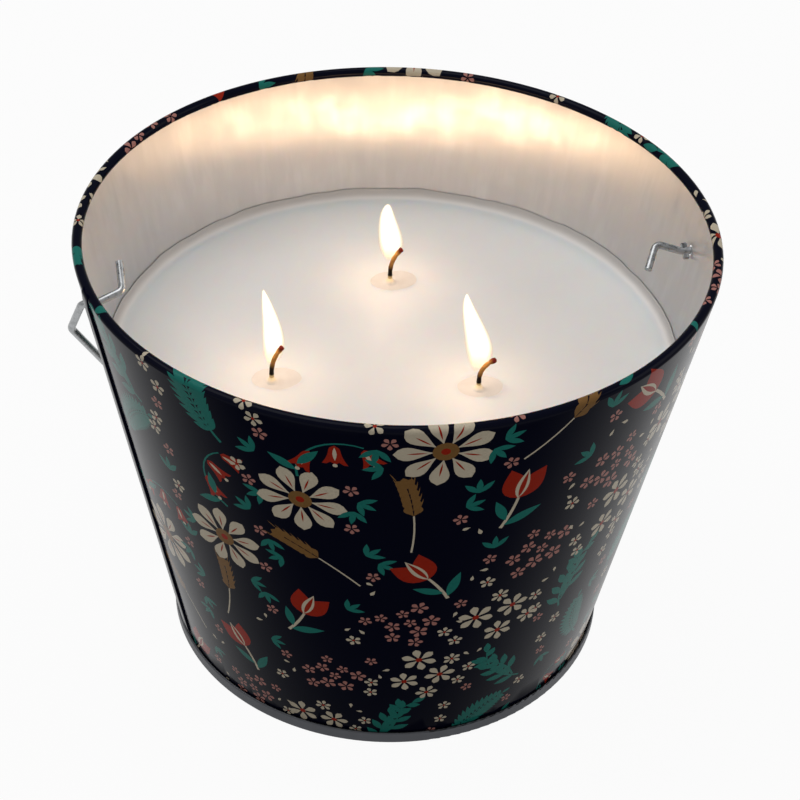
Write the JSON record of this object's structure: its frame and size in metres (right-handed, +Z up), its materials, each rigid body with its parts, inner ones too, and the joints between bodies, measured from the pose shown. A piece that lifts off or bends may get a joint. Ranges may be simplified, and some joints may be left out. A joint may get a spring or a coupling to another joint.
{
  "type": "citronella candle bucket",
  "caption": "Conical tinplate bucket with a rolled rim, a wire bail handle and scented wax with cotton wicks, for outdoor tables.",
  "frame": {"origin": "middle of the ring that the bucket stands on", "axes": "+Z up along the bucket's axis, +X along the pivot line of the bail, +Y towards the side where the bail hangs"},
  "size_m": [0.17, 0.165, 0.1265],
  "materials": {
    "tinplate_printed": "satin lacquer print on tinplate",
    "print_cream": "satin cream print colour",
    "print_teal": "satin teal print colour",
    "print_rust": "satin rust print colour",
    "print_ochre": "satin ochre print colour",
    "print_pink": "satin pink print colour",
    "tinplate_bare": "bare tinplate",
    "sealing_compound": "dried sealing compound",
    "adhesive_foam": "adhesive foam",
    "tab_steel": "plain steel sheet",
    "cotton_wick": "waxed cotton, charred at the tip",
    "wax": "poured candle wax",
    "bail_wire": "tinned steel wire"
  },
  "bodies": {
    "bucket": {"bucket_wall": "tinplate_printed", "bucket_base": "tinplate_bare", "seam_seal": "sealing_compound", "print_cream": "print_cream", "print_teal": "print_teal", "print_rust": "print_rust", "print_ochre": "print_ochre", "print_pink": "print_pink", "wick_pad_left": "adhesive_foam", "wick_tab_left": "tab_steel", "wick_left": "cotton_wick", "wick_pad_right": "adhesive_foam", "wick_tab_right": "tab_steel", "wick_right": "cotton_wick", "wick_pad_back": "adhesive_foam", "wick_tab_back": "tab_steel", "wick_back": "cotton_wick", "wax": "wax"},
    "bail": {"bail_handle": "bail_wire"}
  },
  "joints": [
    {"name": "bail_pivot", "type": "hinge", "parent": "bucket", "child": "bail", "pos_m": [0, 0, 0.1105], "axis": [1, 0, 0], "range_deg": [0, 292.1]}
  ]
}
